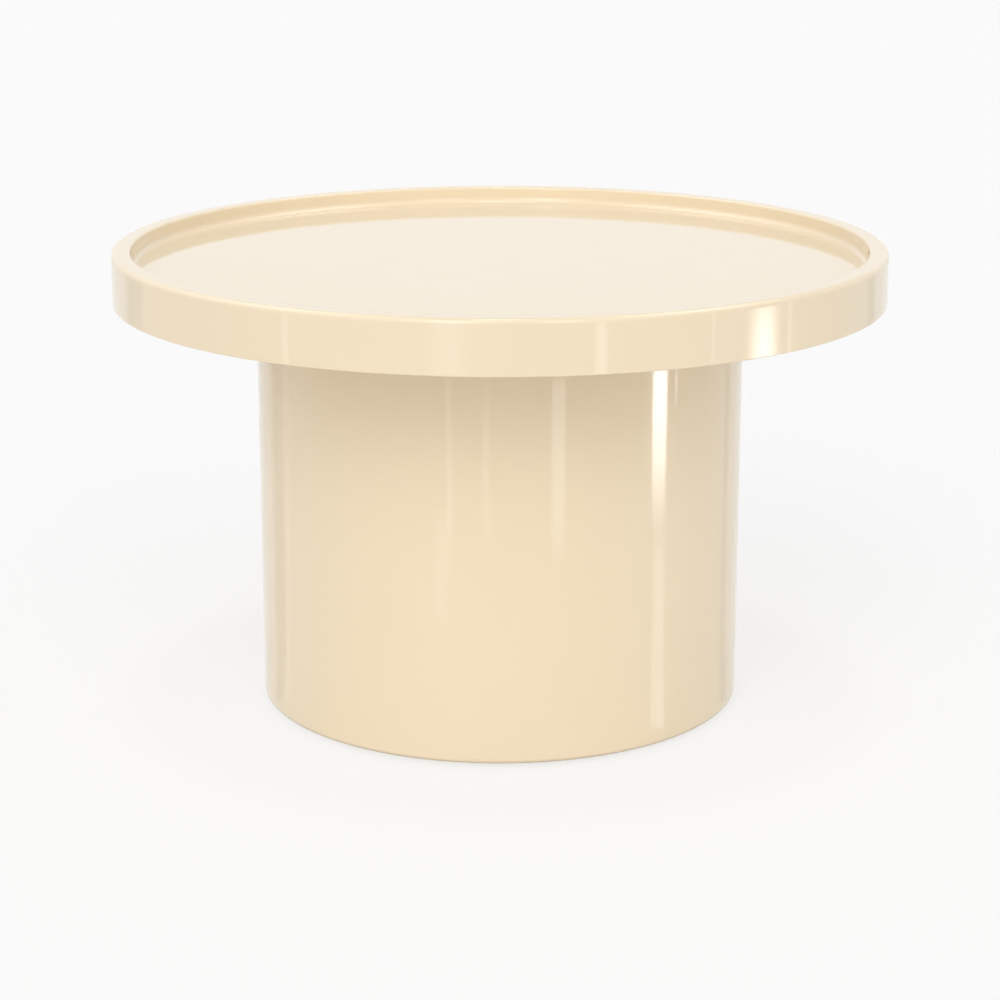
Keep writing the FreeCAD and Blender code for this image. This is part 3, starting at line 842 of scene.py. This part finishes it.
def makeStem(number, place):
    pivot, overlap = foot["pivot"] / 2, foot["overlap"]
    bearing = turned("pivot", [
        (0.0, stemLow.z, 0.0), (pivot, stemLow.z, 0.0), *beadOutline(),
        (pivot, hexLow + overlap, 0.0), (0.0, hexLow + overlap, 0.0),
    ], zincFinish, closed=False, place=place, segments=40)
    hexagon = hexPrism("hexagon", foot["hexFlats"], hexLow, hexHigh, place, foot["hexEdge"])
    thread = newPiece("thread", bpy.data.meshes.new("thread"))
    runTree(thread, threadTree, zincFinish, {
        "Segments": 28, "Rows": 186, "Radius": foot["stem"] / 2, "Depth": foot["threadDepth"],
        "Pitch": foot["pitch"], "Bottom": hexHigh - overlap, "Top": stemHigh.z, "Lead In": foot["leadIn"],
        "Place": place,
    })
    stem = joined(f"foot_{number}_stem_zinc", [bearing, hexagon, thread])
    fitted(stem, f"stem_{number}", "zinc_steel", f"foot_{number}_stem")


def makeFootInserts(circle):
    bore = foot["stem"] / 2 + foot["runningGap"]
    flange, barrel, under = foot["flange"] / 2, foot["barrel"] / 2, bottomLow.z
    pattern = turned("flangedInsert", [
        (bore, footInsertLow.z, 0.0), (flange, footInsertLow.z, foot["flangeEdge"]), (flange, under, 0.0),
        (barrel, under, 0.0), (barrel, footInsertHigh.z, 0.0), (bore, footInsertHigh.z, 0.0),
    ], zincFinish, segments=56, steps=3, hold=0.1 * mm)
    ring = ringPiece("foot_inserts_zinc", pattern, [(len(footNumbers), circle, foot["start"])])
    fitted(ring, "table", "zinc_steel", "foot_inserts")


def makeFeet():
    for number in footNumbers:
        low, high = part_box(f"foot_{number}_pad")
        place = ((low.x + high.x) / 2, (low.y + high.y) / 2, 0.0)
        makePad(number, place, high.z)
        makeStem(number, place)
    makeFootInserts(math.hypot(*place[:2]))


makeFeet()
print("feet made")


# stage: a pale floor under a soft sky with three keys, and glows, strips and lanes that only the gloss shows
# angles are in degrees, lengths in metres

stage = {
    "camera": (0.0, -2.0321, 0.7136), "pitch": 15.362, "lens": 95.01, "sensor": 36.0,
    "floorRadius": 30.0, "floorColour": 0.80, "shadowShare": 0.30, "backLevel": 0.956, "floorGlow": 0.972,
    "segments": 96,
}


def makeCamera():
    data = bpy.data.cameras.new("photoCamera")
    data.lens = stage["lens"]
    data.sensor_width = stage["sensor"]
    camera = bpy.data.objects.new("photoCamera", data)
    camera.location = stage["camera"]
    camera.rotation_euler = (math.radians(90 - stage["pitch"]), 0.0, 0.0)
    scene.collection.objects.link(camera)
    scene.camera = camera


def seenDirectly(tree):
    # 1 where the eye meets the stage straight, in a mirror or through glass
    path = addNode(tree, "ShaderNodeLightPath")
    straight = mathNode(tree, "MAXIMUM", path.outputs["Is Camera Ray"], path.outputs["Is Glossy Ray"])
    return mathNode(tree, "MAXIMUM", straight, path.outputs["Is Transmission Ray"])


def mixShaders(tree, factor, first, second):
    node = addNode(tree, "ShaderNodeMixShader")
    if isinstance(factor, float):
        node.inputs["Fac"].default_value = factor
    else:
        plug(tree, factor, node.inputs["Fac"])
    plug(tree, first, node.inputs[1])
    plug(tree, second, node.inputs[2])
    return node.outputs[0]


def greyNode(tree, kind, level):
    node = addNode(tree, kind)
    node.inputs["Color"].default_value = (level, level, level, 1.0)
    return node.outputs[0]


def evenGlow(level):
    # a shader of one level all over
    def shader(tree):
        node = addNode(tree, "ShaderNodeEmission")
        node.inputs["Strength"].default_value = level
        return node.outputs[0]

    return shader


def stagePiece(name, corners, faces, shader):
    mesh = bpy.data.meshes.new(name)
    mesh.from_pydata(corners, [], faces)
    paint = bpy.data.materials.new(name)
    paint.use_nodes = True
    tree = paint.node_tree
    tree.nodes.clear()
    plug(tree, shader(tree), addNode(tree, "ShaderNodeOutputMaterial").inputs["Surface"])
    mesh.materials.append(paint)
    piece = newPiece(name, mesh)
    return piece


def glossOnly(piece):
    piece.visible_camera = False
    piece.visible_diffuse = False
    piece.visible_transmission = False
    piece.visible_volume_scatter = False
    piece.visible_shadow = False


def floorCircle(radius, height):
    turns = [math.tau * number / stage["segments"] for number in range(stage["segments"])]
    return [(radius * math.cos(turn), radius * math.sin(turn), height) for turn in turns]


def makeFloor():
    def shader(tree):
        # the floor reads as pale as the backdrop, keeps a share of the shadow, and is clear from below
        shaded = greyNode(tree, "ShaderNodeBsdfDiffuse", stage["backLevel"])
        glow = greyNode(tree, "ShaderNodeEmission", stage["floorGlow"])
        pale = mixShaders(tree, stage["shadowShare"], glow, shaded)
        bounce = greyNode(tree, "ShaderNodeBsdfDiffuse", stage["floorColour"])
        top = mixShaders(tree, seenDirectly(tree), bounce, pale)
        under = addNode(tree, "ShaderNodeNewGeometry").outputs["Backfacing"]
        return mixShaders(tree, under, top, addNode(tree, "ShaderNodeBsdfTransparent").outputs[0])

    floor = stagePiece("floor", floorCircle(stage["floorRadius"], 0.0), [range(stage["segments"])], shader)
    floor.visible_shadow = False  # the lamp below reaches the underside


sky = {"horizon": 0.98, "zenith": 0.50}
# soft patches, aimed by angle and rise: two keys high in front, and one overhead that is as wide as the sky
keys = [
    {"level": 5.5, "angle": -17.5, "rise": 39, "wide": 11.6, "tall": 18},
    {"level": 3.35, "angle": 21.0, "rise": 39, "wide": 7.8, "tall": 18},
    {"level": 22.0, "angle": 0.0, "rise": 90, "wide": 2000, "tall": 3.6},
]
# the glow at the back is given twice, once for each end of the angle's range
glows = [
    {"level": 1.5, "angle": -105.0, "rise": 42, "wide": 40, "tall": 20},
    {"level": 0.10, "angle": -180.0, "rise": 14, "wide": 40, "tall": 14},
    {"level": 0.10, "angle": 180.0, "rise": 14, "wide": 40, "tall": 14},
    {"level": 3.9, "angle": 102.0, "rise": 58, "wide": 45, "tall": 12},
    {"level": 2.7, "angle": -100.0, "rise": 58, "wide": 45, "tall": 12},
]


def makeSky():
    # a soft dome with the keys as patches; the gloss also shows the glows
    world = bpy.data.worlds.new("studio")
    world.use_nodes = True
    tree = world.node_tree
    tree.nodes.clear()
    way = splitPlace(tree, addNode(tree, "ShaderNodeTexCoord").outputs["Generated"])
    turn = mathNode(tree, "ARCTAN2", way["X"], mathNode(tree, "MULTIPLY", way["Y"], -1.0))
    rise = mathNode(tree, "ARCSINE", way["Z"])
    seen = seenDirectly(tree)
    above = mathNode(tree, "GREATER_THAN", way["Z"], 0.0)
    unseen = mathNode(tree, "MULTIPLY", above, mathNode(tree, "SUBTRACT", 1.0, seen))
    tone = spread(tree, way["Z"], 0.0, 1.0, sky["horizon"], sky["zenith"])
    dome = mathNode(tree, "MULTIPLY", unseen, tone)
    level = mathNode(tree, "ADD", dome, mathNode(tree, "MULTIPLY", seen, stage["backLevel"]))
    gloss = addNode(tree, "ShaderNodeLightPath").outputs["Is Glossy Ray"]
    for patch in keys + glows:
        squares = []
        for angle, aim, size in ((turn, "angle", "wide"), (rise, "rise", "tall")):
            off = mathNode(tree, "SUBTRACT", angle, math.radians(patch[aim]))
            share = mathNode(tree, "DIVIDE", off, math.radians(patch[size]))
            squares.append(mathNode(tree, "MULTIPLY", share, share))
        fall = mathNode(tree, "EXPONENT", mathNode(tree, "MULTIPLY", mathNode(tree, "ADD", *squares), -1.0))
        strength = mathNode(tree, "MULTIPLY", fall, patch["level"])
        if patch in glows:
            strength = mathNode(tree, "MULTIPLY", strength, gloss)
        level = mathNode(tree, "ADD", level, strength)
    light = addNode(tree, "ShaderNodeBackground")
    light.inputs["Color"].default_value = (1.0, 1.0, 1.0, 1.0)
    plug(tree, level, light.inputs["Strength"])
    plug(tree, light.outputs[0], addNode(tree, "ShaderNodeOutputWorld").inputs["Surface"])
    scene.world = world


underLamp = {"depth": 0.05, "size": 0.20, "power": 0.6}


def makeUnderLamp():
    # a weak lamp below the floor, which shows the underside and the feet
    data = bpy.data.lights.new("underLamp", "AREA")
    data.shape = "SQUARE"
    data.size = underLamp["size"]
    data.energy = underLamp["power"]
    lamp = bpy.data.objects.new("underLamp", data)
    lamp.location = (0.0, 0.0, -underLamp["depth"])
    lamp.rotation_euler = (math.pi, 0.0, 0.0)
    scene.collection.objects.link(lamp)


# each strip's ends are the heights where it starts, is full, is last full and stops
streakEnds = (-0.006, 0.164, 0.170, 0.190)
drumLineEnds = (-0.030, 0.040, 0.165, 0.180)
rimEnds = (0.182, 0.195, 0.290, 0.310)
strips = [
    {"name": "drumStrip", "angle": 69.4, "away": 0.704, "wide": 0.120, "radiance": 13.5, "soft": 0.22,
     "ends": streakEnds, "taper": 0.20},
    {"name": "drumHalo", "angle": 69.0, "away": 0.720, "wide": 0.210, "radiance": 3.0, "soft": 0.50,
     "ends": streakEnds},
    {"name": "drumLine", "angle": 78.4, "away": 0.694, "wide": 0.018, "radiance": 5.0, "soft": 0.30,
     "ends": (0.130, 0.150, 0.165, 0.180)},
    {"name": "rimStrip", "angle": 66.0, "away": 0.795, "wide": 0.180, "radiance": 10.4, "soft": 0.50,
     "ends": (0.182, 0.198, 0.200, 0.300)},
    {"name": "rimLineLeft", "angle": 51.1, "away": 0.817, "wide": 0.010, "radiance": 3.4, "soft": 0.30,
     "ends": (0.190, 0.200, 0.250, 0.300)},
    {"name": "rimLineRight", "angle": 74.55, "away": 0.781, "wide": 0.014, "radiance": 3.0, "soft": 0.30,
     "ends": (0.190, 0.200, 0.280, 0.310)},
    {"name": "drumFill", "angle": 23.5, "away": 0.735, "wide": 0.082, "radiance": 2.9, "soft": 0.14,
     "ends": (-0.060, 0.100, 0.165, 0.180)},
    {"name": "drumLineLeft", "angle": -20.4, "away": 0.735, "wide": 0.046, "radiance": 1.9, "soft": 0.30,
     "ends": drumLineEnds},
    {"name": "drumLineMiddle", "angle": -5.6, "away": 0.735, "wide": 0.046, "radiance": 1.7, "soft": 0.30,
     "ends": drumLineEnds},
    {"name": "rimFill", "angle": 23.1, "away": 0.843, "wide": 0.050, "radiance": 2.8, "soft": 0.25,
     "ends": rimEnds},
    {"name": "rimFillLeft", "angle": -11.6, "away": 0.843, "wide": 0.180, "radiance": 1.9, "soft": 0.40,
     "ends": rimEnds},
    {"name": "rimLineFar", "angle": -52.0, "away": 0.843, "wide": 0.030, "radiance": 2.1, "soft": 0.30,
     "ends": rimEnds},
]


def stripShader(strip):
    low, lowFull, highFull, high = strip["ends"]

    def shader(tree):
        # full in the middle, down to the backdrop's level at both sides and both ends
        coordinates = addNode(tree, "ShaderNodeTexCoord").outputs
        across = splitPlace(tree, coordinates["Generated"])["X"]
        height = splitPlace(tree, coordinates["Object"])["Z"]
        aside = mathNode(tree, "ABSOLUTE", mathNode(tree, "SUBTRACT", across, 0.5))
        middle = spread(tree, aside, 0.5 - strip["soft"], 0.5, 1.0, 0.0, smooth=True)
        rise = spread(tree, height, low, lowFull, 0.0, 1.0, smooth=True)
        fall = spread(tree, height, highFull, high, 1.0, 0.0, smooth=True)
        share = mathNode(tree, "MULTIPLY", middle, mathNode(tree, "MULTIPLY", rise, fall))
        node = addNode(tree, "ShaderNodeEmission")
        level = spread(tree, share, 0.0, 1.0, stage["backLevel"], strip["radiance"])
        plug(tree, level, node.inputs["Strength"])
        return node.outputs[0]

    return shader


def makeStrips():
    for strip in strips:
        turn = math.radians(strip["angle"])
        middle = Vector((math.sin(turn), -math.cos(turn), 0.0)) * strip["away"]
        side = Vector((math.cos(turn), math.sin(turn), 0.0)) * strip["wide"] / 2
        taper = side * 2 * strip.get("taper", 0.0)  # how far the left side leans in at the foot
        corners = [middle - side + taper, middle + side, middle + side, middle - side]
        base, high = max(strip["ends"][0], 0.0), strip["ends"][-1]
        heights = (base, base, high, high)
        points = [(corner.x, corner.y, height) for corner, height in zip(corners, heights)]
        glossOnly(stagePiece(strip["name"], points, [(0, 1, 2, 3)], stripShader(strip)))


laneLift = 0.5 * mm  # above the floor
# painted shade (leftShade, rightShade) and painted light (leftLine, drumSpill, leftGlow), laid on the floor
# for the gloss only
lanes = [
    {"name": "leftShade", "level": 0.65, "near": [(-0.197, -0.046), (-0.206, -0.056)],
     "far": [(-2.215, 1.284), (-1.847, 1.714)]},
    {"name": "leftLine", "level": 1.10, "near": [(-0.207, -0.057), (-0.211, -0.063)],
     "far": [(-1.184, 0.444), (-1.131, 0.534)]},
    {"name": "rightShade", "level": 0.68, "near": [(0.193, -0.062), (0.196, -0.039)],
     "far": [(1.780, 1.750), (1.983, 1.544)]},
    {"name": "drumSpill", "level": 2.20, "near": [(0.160, -0.164), (0.164, -0.146)],
     "far": [(0.668, -0.202), (0.655, -0.275)]},
    {"name": "leftGlow", "level": 1.55, "near": [(-0.230, -0.485), (-0.185, -0.510)],
     "far": [(-0.316, -0.810), (-0.395, -0.770)]},
]


def makeLanes():
    # darker and paler stretches of floor, made as gloss-only glowing sheets of painted shade and painted
    # light, which the drum and the rim mirror as upright bands
    for lane in lanes:
        points = [(across, along, laneLift) for across, along in lane["near"] + lane["far"]]
        glossOnly(stagePiece(lane["name"], points, [(0, 1, 2, 3)], evenGlow(lane["level"])))


footShade = {"inner": 165 * mm, "outer": 190 * mm, "lift": 0.4 * mm, "level": 0.20}


def makeFootShade():
    # a gloss-only dark ring of painted shade over the floor in the gap below the drum, which the gloss of the
    # drum's rounded foot shows dark
    count = stage["segments"]
    lift = footShade["lift"]
    points = floorCircle(footShade["inner"], lift) + floorCircle(footShade["outer"], lift)
    faces = []
    for number in range(count):
        following = (number + 1) % count
        faces.append((number, following, count + following, count + number))
    glossOnly(stagePiece("footShade", points, faces, evenGlow(footShade["level"])))


makeCamera()
makeFloor()
makeSky()
makeUnderLamp()
makeStrips()
makeLanes()
makeFootShade()
scene.view_settings.view_transform = "Standard"
print("stage set")
